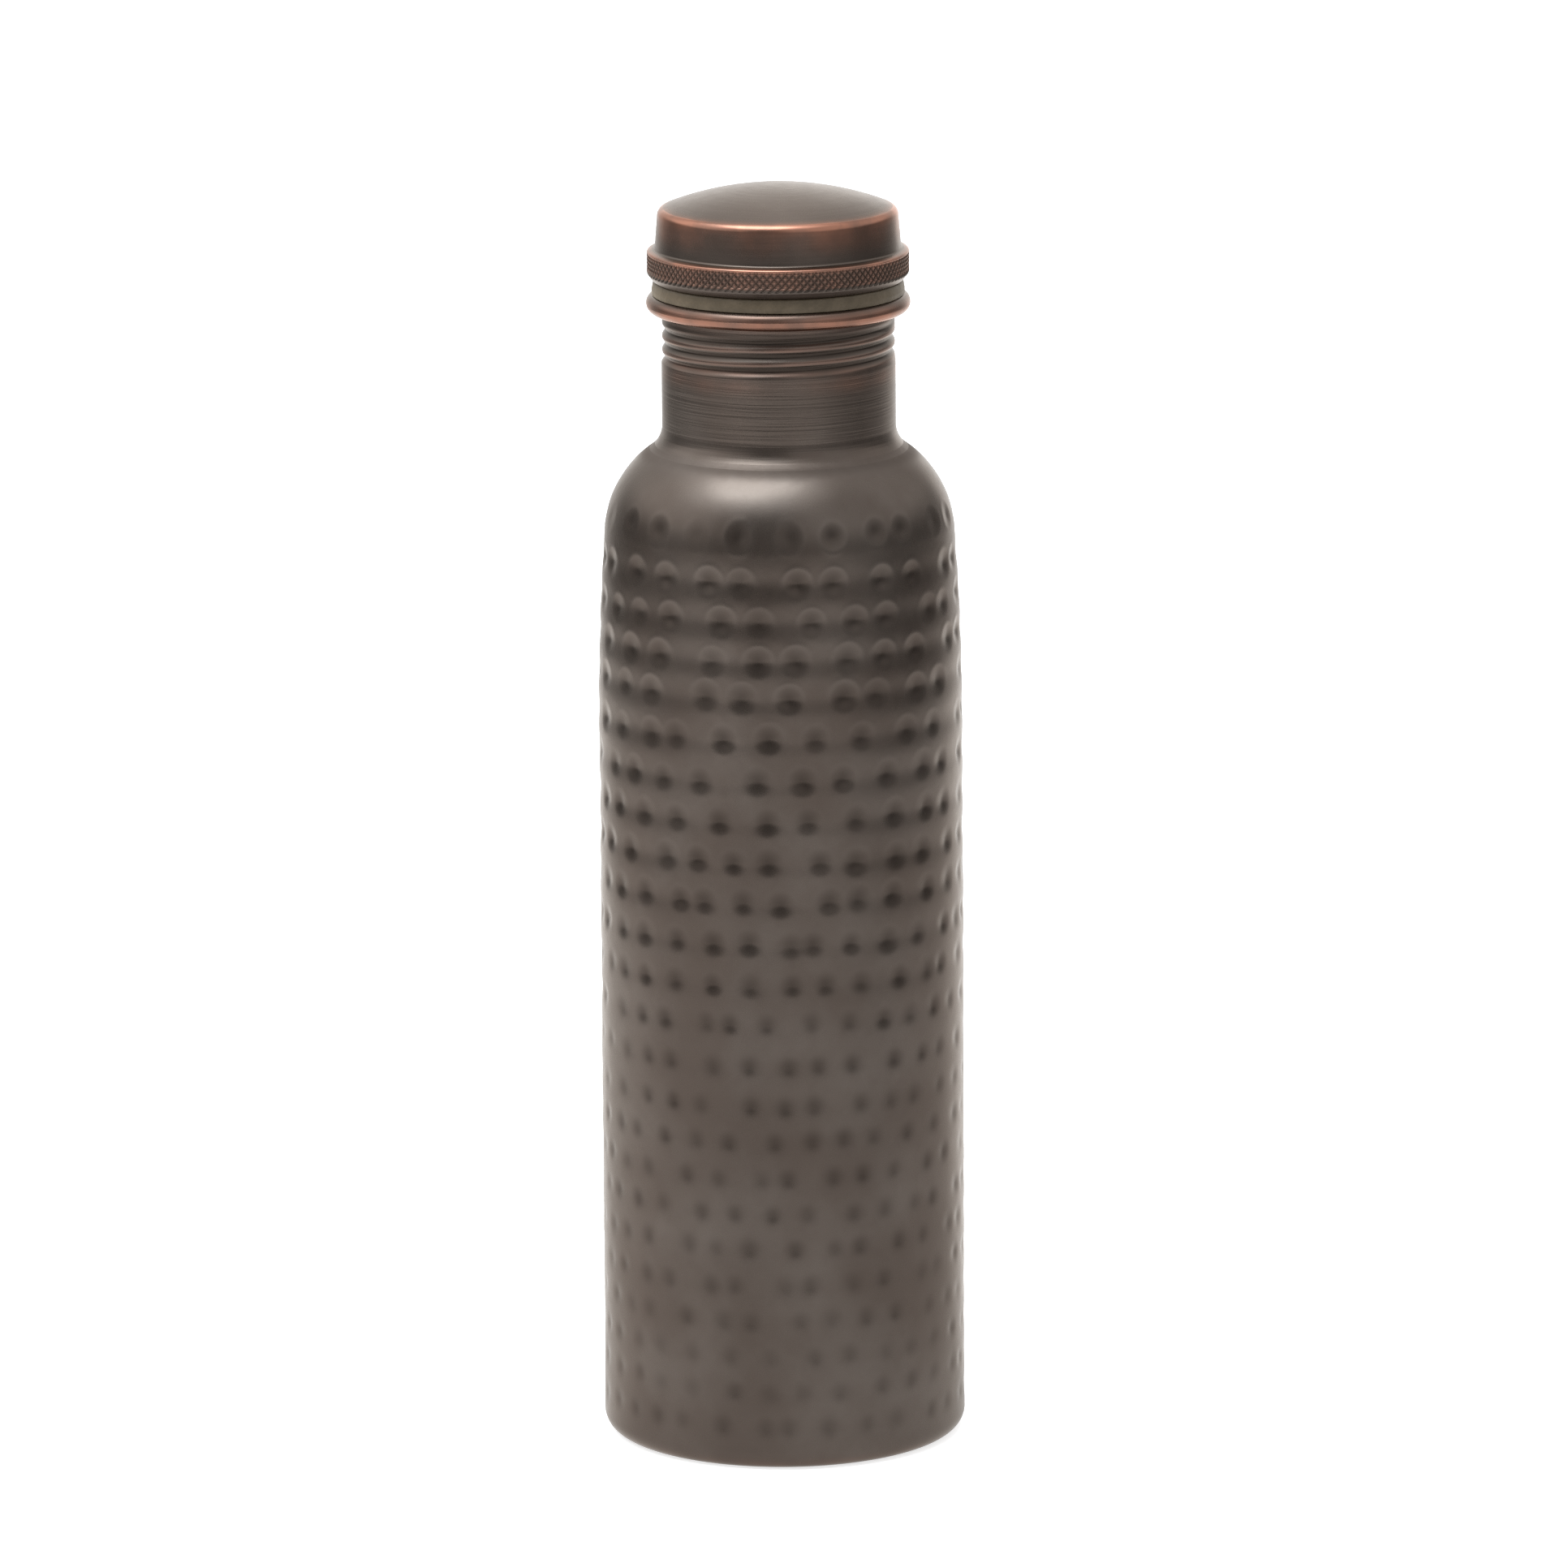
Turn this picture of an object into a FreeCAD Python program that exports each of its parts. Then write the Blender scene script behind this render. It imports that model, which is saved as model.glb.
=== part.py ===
"""Antique-finish copper water bottle: hammered body, threaded neck and screw-in cap.

Millimetres. +Z is up along the bottle's axis and the origin is the centre of the resting plane.
Every piece is a sheet-metal or rubber section turned about the axis. The neck and the plug then
get one rolled screw thread each, both on the same helix so that they mesh when the cap is home.
"""

import FreeCAD
import Part
import math
import os

from FreeCAD import Vector

# ---- body ----
SHEET = 0.5                 # copper sheet of the body, base, cap and plug end
BODY_R = 38.0               # outer radius of the straight body
BODY_STRAIGHT_TOP = 150.0   # the body starts to draw in here
DRAW_IN_R = 590.0           # long, almost flat arc from the straight body to the shoulder
SHOULDER_R = 21.8
SHOULDER_CENTRE_Z = 191.9
BASE_CORNER_R = 4.0
FLANGE_R = 32.0             # inner radius of the body's turned-in bottom edge
COLLAR_TOP = 219.0          # top of the body's collar, which stands up inside the neck

# ---- neck ----
NECK_SHEET = 0.7
NECK_R = 24.3
FOOT_R = 6.2                # concave sweep from the shoulder up into the neck
SKIRT_END_DEG = 225.5       # where the neck's skirt stops, as an angle about the foot's centre
JOGGLE_START_DEG = 229.5    # the body steps in under the skirt between these two angles
JOGGLE_END_DEG = 226.0
LIP_Z = 240.6               # centre of the rolled lip
LIP_R = 1.9                 # outer radius of the roll
LIP_END_DEG = -115.0        # the roll stops here, just short of the neck's wall

# ---- screw thread, right-handed ----
PITCH = 2.9
THREAD_Z = 227.9            # height of the helix where it starts, on the +X side
NECK_TURNS = 3.0
GROOVE_DEPTH = 0.6          # groove rolled into the outside of the neck
GROOVE_SECTION_R = 0.87
RIDGE_HEIGHT = 0.6          # ridge that the groove raises inside the neck
RIDGE_SECTION_R = 1.0
THREAD_PLAY = 0.18          # play between the neck's ridge and the plug's groove
EMBED = 0.2                 # how far a thread's tool reaches past the wall it works on

# ---- gasket ----
GASKET_THICK = 2.8
GASKET_R_LOW = 26.2
GASKET_R_HIGH = 25.9
GASKET_EDGE = 0.3
GASKET_PLAY = 0.05          # radial play of the gasket on the plug's stem

# ---- plug, the threaded sleeve under the cap ----
PLUG_BORE_R = 21.8
PLUG_STEM_R = 22.9          # between the thread and the cap
PLUG_CREST_R = 23.4
PLUG_LEAD_R = 22.4          # plain lead that enters the neck first
PLUG_BOTTOM = 227.0
PLUG_LEAD_TOP = 227.8
PLUG_THREAD_BOTTOM = 228.7
PLUG_THREAD_TOP = 239.0
PLUG_TURNS = 4.5            # its groove starts one turn below the neck's, so it runs out below
PLUG_FLANGE_THICK = 0.8
PLUG_END_Z = 228.0          # underside of the disc that closes the plug

# ---- cap ----
BEAD_R = 27.2               # bead whose outside is knurled for grip
BEAD_CORNER_R = 1.0
BEAD_LOW_RISE = 2.0         # height of the bead's lower corner above the cap's underside
BEAD_STRAIGHT = 3.75
BEAD_TOP_R = 0.6            # the bead's upper corner
HEM_R = 24.4                # inner radius of the hem folded in under the plug's flange
HEM_CORNER_R = 25.4
HEM_SLOPE_DEG = -40.0       # direction the hem's corner faces where it meets the bead
BEAD_TOP_DEG = 70.0         # direction faced by the ledge between the bead and the cap's side
SIDE_FILLET_R = 0.5
SIDE_FILLET_CENTRE_R = 26.01
SIDE_FILLET_RISE = 1.38     # above the centre of the bead's upper corner
SIDE_TAPER_DEG = 4.6
CAP_TOP_R = 25.0
CAP_CORNER_R = 1.8
DOME_R = 65.0
CAP_TOP_Z = 265.0

# ---- discs and brazing ----
DISC_RIM = 4.0              # flat rim round a dished disc
DISC_EDGE_GAP = 0.2         # room between the base disc's edge and the body's corner
BASE_DISH = 3.0
PLUG_DISH = 1.2
FILLET_LEG = 0.4            # leg of a brazed fillet

# ---- heights and centres that follow from the above ----
NECK_BORE_R = NECK_R - NECK_SHEET
LIP_TOP = LIP_Z + LIP_R
CAP_BOTTOM = LIP_TOP + GASKET_THICK
CAP_SHEET_TOP = CAP_BOTTOM + SHEET
RIDGE_CENTRE_R = NECK_BORE_R - RIDGE_HEIGHT + RIDGE_SECTION_R
BEAD_LOW = (BEAD_R - BEAD_CORNER_R, CAP_BOTTOM + BEAD_LOW_RISE)
BEAD_HIGH = (BEAD_R - BEAD_TOP_R, BEAD_LOW[1] + BEAD_STRAIGHT)
HEM = (HEM_CORNER_R, CAP_BOTTOM + BEAD_CORNER_R)
SIDE_FILLET = (SIDE_FILLET_CENTRE_R, BEAD_HIGH[1] + SIDE_FILLET_RISE)
DOME = (0.0, CAP_TOP_Z - DOME_R)
CORNER = (BODY_R - BASE_CORNER_R, BASE_CORNER_R)
DRAW_IN = (BODY_R - DRAW_IN_R, BODY_STRAIGHT_TOP)
LIP = (NECK_BORE_R + LIP_R, LIP_Z)
AXIS = Vector(0, 0, 1)


def point(r, z):
    """A point of a section, which lies in the XZ plane."""
    return Vector(r, 0, z)


def polar(centre, radius, degrees):
    """The point at an angle on a circle about centre, where centre is (r, z)."""
    angle = math.radians(degrees)
    return point(centre[0] + radius * math.cos(angle), centre[1] + radius * math.sin(angle))


def arc(centre, radius, start, end):
    """An arc about centre, from one angle to another in degrees."""
    middle = polar(centre, radius, (start + end) / 2)
    return Part.Arc(polar(centre, radius, start), middle, polar(centre, radius, end)).toShape()


def ends(step):
    """The first and last point of a step in a path, which is an arc or a single point."""
    if isinstance(step, Vector):
        return step, step
    return step.valueAt(step.FirstParameter), step.valueAt(step.LastParameter)


def turned(*path):
    """Joins a path of arcs and points with straight lines, closes it and turns it about the axis."""
    edges = []
    for step, following in zip(path, path[1:] + path[:1]):
        if not isinstance(step, Vector):
            edges.append(step)
        last = ends(step)[1]
        first = ends(following)[0]
        if last.distanceToPoint(first) > 1e-6:
            edges.append(Part.makeLine(last, first))
    return Part.Face(Part.Wire(edges)).revolve(Vector(0, 0, 0), AXIS, 360)


def rolled(centre_r, section_r, flat_r, bottom, turns):
    """A solid thread: a D-shaped section, its flat side at flat_r, swept up a right-handed helix."""
    half = math.degrees(math.acos((flat_r - centre_r) / section_r))
    bulge = arc((centre_r, bottom), section_r, half, 360 - half)
    first, last = ends(bulge)
    section = Part.Wire([bulge, Part.makeLine(last, first)])
    helix = Part.makeHelix(PITCH, PITCH * turns, centre_r)
    helix.translate(Vector(0, 0, bottom))
    return Part.Wire(helix.Edges).makePipeShell([section], True, True)


def shoulder():
    """Centre of the shoulder's arc, and the angle where it takes over from the draw-in."""
    reach = DRAW_IN_R - SHOULDER_R
    angle = math.asin((SHOULDER_CENTRE_Z - BODY_STRAIGHT_TOP) / reach)
    return (DRAW_IN[0] + reach * math.cos(angle), SHOULDER_CENTRE_Z), math.degrees(angle)


def foot():
    """Centre of the neck's concave foot, and the angle where the shoulder's arc meets it."""
    centre = shoulder()[0]
    across = NECK_R + FOOT_R - centre[0]
    rise = math.sqrt((SHOULDER_R + FOOT_R) ** 2 - across ** 2)
    return (NECK_R + FOOT_R, centre[1] + rise), math.degrees(math.atan2(rise, across))


def body_shell():
    """Base flange, straight body, shoulder and collar, all drawn from one tube."""
    shoulder_centre, low = shoulder()
    foot_centre, high = foot()
    under = FOOT_R + NECK_SHEET
    collar_r = NECK_R + FOOT_R - under
    return turned(
        point(FLANGE_R, 0),
        arc(CORNER, BASE_CORNER_R, -90, 0),
        arc(DRAW_IN, DRAW_IN_R, 0, low),
        arc(shoulder_centre, SHOULDER_R, low, high),
        arc(foot_centre, FOOT_R, high + 180, JOGGLE_START_DEG),
        arc(foot_centre, under, JOGGLE_END_DEG, 180),
        point(collar_r, COLLAR_TOP),
        point(collar_r - SHEET, COLLAR_TOP),
        arc(foot_centre, under + SHEET, 180, JOGGLE_END_DEG),
        arc(foot_centre, FOOT_R + SHEET, JOGGLE_START_DEG, high + 180),
        arc(shoulder_centre, SHOULDER_R - SHEET, high, low),
        arc(DRAW_IN, DRAW_IN_R - SHEET, low, 0),
        arc(CORNER, BASE_CORNER_R - SHEET, 0, -90),
        point(FLANGE_R, SHEET),
    )


def neck():
    """Skirt over the shoulder, threaded wall, and a hollow lip rolled outward."""
    foot_centre = foot()[0]
    wall = turned(
        arc(foot_centre, FOOT_R, SKIRT_END_DEG, 180),
        arc(LIP, LIP_R - NECK_SHEET, 180, LIP_END_DEG),
        arc(LIP, LIP_R, LIP_END_DEG, 180),
        arc(foot_centre, FOOT_R + NECK_SHEET, 180, SKIRT_END_DEG),
    )
    groove_r = NECK_R - GROOVE_DEPTH + GROOVE_SECTION_R
    groove = rolled(groove_r, GROOVE_SECTION_R, NECK_R + EMBED, THREAD_Z, NECK_TURNS)
    ridge = rolled(RIDGE_CENTRE_R, RIDGE_SECTION_R, NECK_BORE_R + EMBED, THREAD_Z, NECK_TURNS)
    return wall.fuse(ridge).cut(groove)


def neck_braze_ring():
    """Brazing alloy in the seam between the end of the skirt and the body's joggle."""
    centre = foot()[0]
    inner = FOOT_R + NECK_SHEET
    return turned(
        polar(centre, FOOT_R, SKIRT_END_DEG),
        polar(centre, inner, SKIRT_END_DEG),
        polar(centre, inner, JOGGLE_END_DEG),
        polar(centre, FOOT_R, JOGGLE_START_DEG),
    )


def dished_disc(edge_r, z, dish):
    """A sheet disc with a flat rim and a shallow dome, its rim's underside at z."""
    dome_edge = edge_r - DISC_RIM
    dome_r = (dome_edge ** 2 + dish ** 2) / (2 * dish)
    spread = math.degrees(math.asin(dome_edge / dome_r))
    low_centre = (0.0, z + dish - dome_r)
    high_centre = (0.0, low_centre[1] + SHEET)
    return turned(
        point(edge_r, z),
        point(edge_r, z + SHEET),
        arc(high_centre, dome_r, 90 - spread, 90),
        arc(low_centre, dome_r, 90, 90 - spread),
    )


def brazed_fillet(r, z):
    """A triangular ring of brazing alloy in the corner under a disc at z, inside a wall at r."""
    return turned(point(r, z), point(r - FILLET_LEG, z), point(r, z - FILLET_LEG))


def gasket():
    """Flat rubber ring, gripped between the lip and the cap's hem."""
    bore = PLUG_STEM_R + GASKET_PLAY
    return turned(
        point(bore, LIP_TOP),
        point(GASKET_R_LOW - GASKET_EDGE, LIP_TOP),
        point(GASKET_R_LOW, LIP_TOP + GASKET_EDGE),
        point(GASKET_R_HIGH, CAP_BOTTOM - GASKET_EDGE),
        point(GASKET_R_HIGH - GASKET_EDGE, CAP_BOTTOM),
        point(bore, CAP_BOTTOM),
    )


def cap_surface(inset):
    """The cap's outline from the hem to the crown, moved in from the outside by inset."""
    to_corner = DOME_R - CAP_CORNER_R
    corner_r = CAP_TOP_R - CAP_CORNER_R
    corner_centre = (corner_r, DOME[1] + math.sqrt(to_corner ** 2 - corner_r ** 2))
    corner_end = math.degrees(math.acos(corner_r / to_corner))
    low_r = BEAD_CORNER_R - inset
    return [
        arc(HEM, low_r, -90, HEM_SLOPE_DEG),
        arc(BEAD_LOW, low_r, HEM_SLOPE_DEG, 0),
        arc(BEAD_HIGH, BEAD_TOP_R - inset, 0, BEAD_TOP_DEG),
        arc(SIDE_FILLET, SIDE_FILLET_R + inset, 180 + BEAD_TOP_DEG, 180 + SIDE_TAPER_DEG),
        arc(corner_centre, CAP_CORNER_R - inset, SIDE_TAPER_DEG, corner_end),
        arc(DOME, DOME_R - inset, corner_end, 90),
    ]


def filled_cap(inset, hem_r):
    """The cap as a solid lump, whose hollow is cut with the same outline moved in."""
    return turned(point(0, CAP_BOTTOM + inset), point(hem_r, CAP_BOTTOM + inset), *cap_surface(inset))


def cap_shell():
    """Domed crown, tapered side and knurled bead, with a hem folded in at the bottom."""
    opening = Part.makeCylinder(HEM_R, 2 * SHEET, point(0, CAP_BOTTOM - SHEET / 2), AXIS)
    return filled_cap(0, HEM_R).cut(filled_cap(SHEET, HEM_R)).cut(opening)


def plug_sleeve():
    """Threaded sleeve that screws into the neck; its flange and rim are held in the cap's bead."""
    held_r = BEAD_CORNER_R - SHEET
    rim_r = BEAD_R - SHEET
    flange_top = CAP_SHEET_TOP + PLUG_FLANGE_THICK
    sleeve = turned(
        point(PLUG_BORE_R, PLUG_BOTTOM),
        point(PLUG_LEAD_R, PLUG_BOTTOM),
        point(PLUG_LEAD_R, PLUG_LEAD_TOP),
        point(PLUG_CREST_R, PLUG_THREAD_BOTTOM),
        point(PLUG_CREST_R, PLUG_THREAD_TOP),
        point(PLUG_STEM_R, PLUG_THREAD_TOP + PLUG_CREST_R - PLUG_STEM_R),
        point(PLUG_STEM_R, CAP_SHEET_TOP),
        arc(HEM, held_r, -90, HEM_SLOPE_DEG),
        arc(BEAD_LOW, held_r, HEM_SLOPE_DEG, 0),
        point(rim_r, BEAD_HIGH[1]),
        point(rim_r - PLUG_FLANGE_THICK, BEAD_HIGH[1]),
        point(rim_r - PLUG_FLANGE_THICK, BEAD_LOW[1]),
        point(HEM_CORNER_R - PLUG_FLANGE_THICK / 2, flange_top),
        point(PLUG_BORE_R, flange_top),
    )
    groove_r = RIDGE_SECTION_R + THREAD_PLAY
    return sleeve.cut(rolled(RIDGE_CENTRE_R, groove_r, PLUG_CREST_R + EMBED, THREAD_Z - PITCH, PLUG_TURNS))


def save(name, shape):
    """Writes one piece, as a single solid."""
    print(name, len(shape.Solids), shape.isValid(), round(shape.Volume, 1))
    shape.Solids[0].exportStep(f"parts/{name}.step")


os.makedirs("parts", exist_ok=True)
save("body_shell", body_shell())
save("base_plate", dished_disc(CORNER[0] - DISC_EDGE_GAP, SHEET, BASE_DISH))
save("base_braze_ring", brazed_fillet(FLANGE_R, SHEET))
save("neck", neck())
save("neck_braze_ring", neck_braze_ring())
save("gasket", gasket())
save("cap_shell", cap_shell())
save("plug_sleeve", plug_sleeve())
save("plug_end", dished_disc(PLUG_BORE_R, PLUG_END_Z, PLUG_DISH))
save("plug_braze_ring", brazed_fillet(PLUG_BORE_R, PLUG_END_Z))
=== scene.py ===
"""Looks for the antique copper water bottle: hammered body, turned neck, knurled screw cap.

Outlines are in millimetres in the CAD frame and become metres when a mesh is made. Each piece is
an outline turned about the axis, then pushed along its own normals by hammer marks, thread or
knurling. The same pushes say where the dark finish has worn through to bright copper, and where
shade is painted into the dents and grooves.
"""

import math

import bmesh
import bpy
import numpy as np
from mathutils import Matrix, Vector

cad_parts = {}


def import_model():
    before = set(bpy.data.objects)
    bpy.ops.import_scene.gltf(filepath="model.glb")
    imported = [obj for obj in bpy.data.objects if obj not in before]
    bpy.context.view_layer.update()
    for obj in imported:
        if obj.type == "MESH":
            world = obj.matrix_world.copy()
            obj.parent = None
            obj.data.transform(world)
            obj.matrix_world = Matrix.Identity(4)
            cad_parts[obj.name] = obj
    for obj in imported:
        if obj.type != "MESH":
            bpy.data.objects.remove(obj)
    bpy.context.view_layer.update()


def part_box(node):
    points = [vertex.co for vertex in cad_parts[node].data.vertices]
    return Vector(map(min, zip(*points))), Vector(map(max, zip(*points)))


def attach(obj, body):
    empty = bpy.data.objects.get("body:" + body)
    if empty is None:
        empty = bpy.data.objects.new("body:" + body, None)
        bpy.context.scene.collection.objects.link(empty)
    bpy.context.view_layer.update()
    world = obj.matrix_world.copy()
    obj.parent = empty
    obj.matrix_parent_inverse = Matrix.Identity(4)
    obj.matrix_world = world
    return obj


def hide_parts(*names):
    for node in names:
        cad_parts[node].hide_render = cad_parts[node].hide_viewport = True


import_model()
MM = 0.001
SHARP_DEG = 48              # edges that turn by more than this stay sharp

# ---- sizes read off the frame ----
BODY_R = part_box("body_shell")[1].x / MM
COLLAR_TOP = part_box("body_shell")[1].z / MM
LIP_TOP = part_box("neck")[1].z / MM
CAP_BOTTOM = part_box("cap_shell")[0].z / MM
CAP_TOP_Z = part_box("cap_shell")[1].z / MM
BEAD_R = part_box("cap_shell")[1].x / MM
PLUG_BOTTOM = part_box("plug_sleeve")[0].z / MM
PLUG_END_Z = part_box("plug_end")[0].z / MM
PLUG_BORE_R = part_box("plug_end")[1].x / MM

# ---- sizes the frame's boxes don't show ----
# The body. It steps in under the neck's skirt, between two angles round the foot's centre.
SHEET = 0.5                 # of the body, cap and discs
BODY_STRAIGHT_TOP = 150.0
DRAW_IN_R = 590.0           # the long curve from the straight part to the shoulder
SHOULDER_R = 21.8
SHOULDER_CENTRE_Z = 191.9
JOGGLE_START = 229.5
JOGGLE_END = 226.0
BASE_CORNER_R = 4.0
FLANGE_R = 32.0             # opening of the turned-in base flange

# The neck. Its foot is a hollow arc, and its skirt ends at an angle round that arc's centre.
NECK_SHEET = 0.7
NECK_R = 24.3
NECK_BORE_R = NECK_R - NECK_SHEET
FOOT_R = 6.2
SKIRT_END = 225.5
LIP_R = 1.9
LIP_END = -115.0            # angle where the rolled lip stops, just short of the wall
PITCH = 2.9
THREAD_Z = 227.9            # middle of the groove at its lower end
NECK_TURNS = 3.0
GROOVE_DEPTH = 0.6
GROOVE_HALF_WIDTH = 1.35
CREST_DROP = 0.14           # how far the crests lie under the plain wall

# The plug.
PLUG_STEM_R = 22.9
PLUG_CREST_R = 23.4
PLUG_LEAD_R = 22.4
PLUG_LEAD = 0.8             # height of the plain end below the thread
PLUG_CHAMFER = 0.9
PLUG_SHEET = 0.8
PLUG_THREAD_TOP = 239.0
PLUG_TURNS = 4.5
PLUG_GROOVE_DEPTH = 0.55
PLUG_GROOVE_HALF_WIDTH = 1.02

# The cap: knurled bead, tapered side, domed top, and a hem turned in under the bead.
BEAD_CORNER_R = 1.0
BEAD_LOW_RISE = 2.0
BEAD_STRAIGHT = 3.75
BEAD_TOP_R = 0.6
BEAD_TOP_DEG = 70.0
SIDE_FILLET_R = 0.5
SIDE_FILLET = (26.01, 1.38)     # its centre's radius, and rise from the bead's upper corner
SIDE_TAPER_DEG = 4.6
HEM_R = 24.4
HEM_CORNER_R = 25.4
HEM_SLOPE_DEG = -40.0
CAP_TOP_R = 25.0
CAP_CORNER_R = 1.8
DOME_R = 65.0

# Discs, brazing and gaps.
BASE_DISC_R = 33.8
DISC_RIM = 4.0              # width of a dished disc's flat rim
BASE_DISH = 3.0
PLUG_DISH = 1.2
BRAZE_LEG = 0.4
GASKET_PLAY = 0.05
FIT = 0.02                  # gap left between two pieces that lie against each other

# ---- hammer marks ----
HAMMER_SEED = 11
MARK_R = 2.7
MARK_DEPTH = 0.38
RIM_RISE = 0.12             # of the depth
ROW_SINK = 0.16             # how far a whole row sinks with its marks
ROW_HALF_HEIGHT = 2.8
FIRST_ROW_Z = 197.2         # on the shoulder
SECOND_ROW_Z = 187.95
ROW_RISES = ((3, 7.95), (10, 8.58), (9, 7.67))  # further rows going down, and their spacing
MARKS_ROUND = 24            # in an upper row
MARKS_ROUND_LOW = 30        # in a lower row
MORE_MARKS = (155, 110)     # the number in a row changes between these heights
DENTED = (1.0, 6.0, 204.0, 208.5)   # where the hand work starts, is full, fades and ends

# Each trait of the marks has its values on the upper, middle and lower rows.
UPPER_ROWS = (142, 172)     # the upper values come in between these heights
LOWER_ROWS = (128, 78)      # and the lower ones between these
SIZE = (1.0, 1.0, 0.88)
FORCE = (1.0, 1.0, 0.5)
RIM = (1.0, 0.35, 0.14)
# Painted shade: a dark spot in each mark's middle, standing in for the dark that the dent reflects.
PAINTED_SHADE = (1.1, 1.3, 1.9)
PAINTED_SHADE_SPREAD = (0.7, 0.82, 0.82)     # in mark radii
SINK = (1.0, 1.0, 0.3)
PALER = (62, 36)            # marks lose some of their darkness again between these heights
PALER_BY = 0.35

# How the hand varies from mark to mark.
SPACING_SLIP = 0.22         # of the space between two marks
HEIGHT_SLIP = 0.15
ROW_WANDER = (0.25, 0.15)   # the row's own slow waves, once and three times round
SIZE_RANGE = (0.92, 1.08)
FORCE_RANGE = (0.65, 1.2)
TOP_ROW_FORCE_RANGE = (0.35, 0.9)   # on top of the force range

# ---- thread and knurl ----
THREADED = (226.0, 226.4, 238.6, 239.2)     # where the rolled band starts, is full, fades and ends
CRESTED = (229.0, 230.0, 235.4, 237.2)      # the same for its bright crests
CREST_DROP_FROM = (228.3, 229.4)    # the wall steps in to the crests between these heights
LOWEST_CREST_Z = 229.3
RUBBED_Z = 226.8            # middle of the rubbed band under the thread
KNURL_COUNT = 112
KNURL_HEIGHT = 1.62
KNURL_DEPTH = 0.34


# ======================= outlines =======================

def polar(centre, radius, degrees):
    """The (r, z) point, or points, at a distance and angle from centre."""
    a = np.radians(degrees)
    return np.stack([centre[0] + radius * np.cos(a), centre[1] + radius * np.sin(a)], -1)


def arc(centre, radius, start, end, spacing=0.4):
    """Points along an arc about centre, from one angle to another in degrees."""
    length = abs(math.radians(end - start)) * radius
    return polar(centre, radius, np.linspace(start, end, max(4, round(length / spacing) + 1)))


def rounded(*corners):
    """A polyline through (r, z, radius) corners, each corner but the ends rounded by its radius."""
    points = [corners[0][:2]]
    for before, (r, z, radius), after in zip(corners, corners[1:], corners[2:]):
        corner = np.array([r, z])
        a = np.array(before[:2]) - corner
        b = np.array(after[:2]) - corner
        a = a / np.linalg.norm(a)
        b = b / np.linalg.norm(b)
        half = math.acos(np.clip(a @ b, -1, 1)) / 2
        reach = radius / math.tan(half)
        for t in np.linspace(0, 1, 7):
            ends = (1 - t) ** 2 * a + t ** 2 * b
            points.append(tuple(corner + ends * reach))
    points.append(corners[-1][:2])
    return np.array(points)


def joined(*pieces, spacing=0.5):
    """Joins points and arcs into one outline, with long straight stretches cut to the spacing."""
    points = np.concatenate([np.atleast_2d(np.array(p, float)) for p in pieces])
    result = [points[0]]
    for a, b in zip(points, points[1:]):
        length = np.linalg.norm(b - a)
        if length < 1e-6:
            continue
        steps = max(1, math.ceil(length / spacing))
        result += [a + (b - a) * k / steps for k in range(1, steps + 1)]
    return np.array(result)


def normals(outline, closed):
    """Unit normals of an outline that runs up its outside, pointing out of the metal."""
    if closed:
        tangent = np.roll(outline, -1, 0) - np.roll(outline, 1, 0)
    else:
        tangent = np.gradient(outline, axis=0)
    tangent /= np.linalg.norm(tangent, axis=1)[:, None]
    return np.stack([tangent[:, 1], -tangent[:, 0]], 1)


# ======================= meshes =======================

def smoothstep(low, high, x):
    """An eased step from 0 at low to 1 at high. With low above high it falls instead."""
    t = np.clip((x - low) / (high - low), 0, 1)
    return t * t * (3 - 2 * t)


def plateau(x, start, full, fade, end):
    """0 up to start, 1 from full to fade, and 0 again from end."""
    return smoothstep(start, full, x) * smoothstep(end, fade, x)


def angles(around):
    """The angle of each point round a ring, in radians."""
    return np.arange(around) * 2 * math.pi / around


def near(outline, spot, reach, strength):
    """How near each outline point is to an (r, z) spot, from 0 far away to strength on it."""
    away = np.hypot(outline[:, 0] - spot[0], outline[:, 1] - spot[1])
    return strength * np.exp(-(away / reach) ** 2)


def skin_faces(rows, around, poles):
    """Quads between rings of points, closed into a tube or, with poles, closed on the axis."""
    index = np.arange(rows * around).reshape(rows, around)
    lower, upper = (index[1:-2], index[2:-1]) if poles else (index, np.roll(index, -1, 0))
    quads = np.stack([lower, np.roll(lower, -1, 1), np.roll(upper, -1, 1), upper], -1)
    faces = quads.reshape(-1, 4).tolist()
    if poles:
        first = index[1]
        last = index[-2]
        faces += [[0, b, a] for a, b in zip(first, np.roll(first, -1))]
        faces += [[index[-1, 0], a, b] for a, b in zip(last, np.roll(last, -1))]
    return faces


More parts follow.
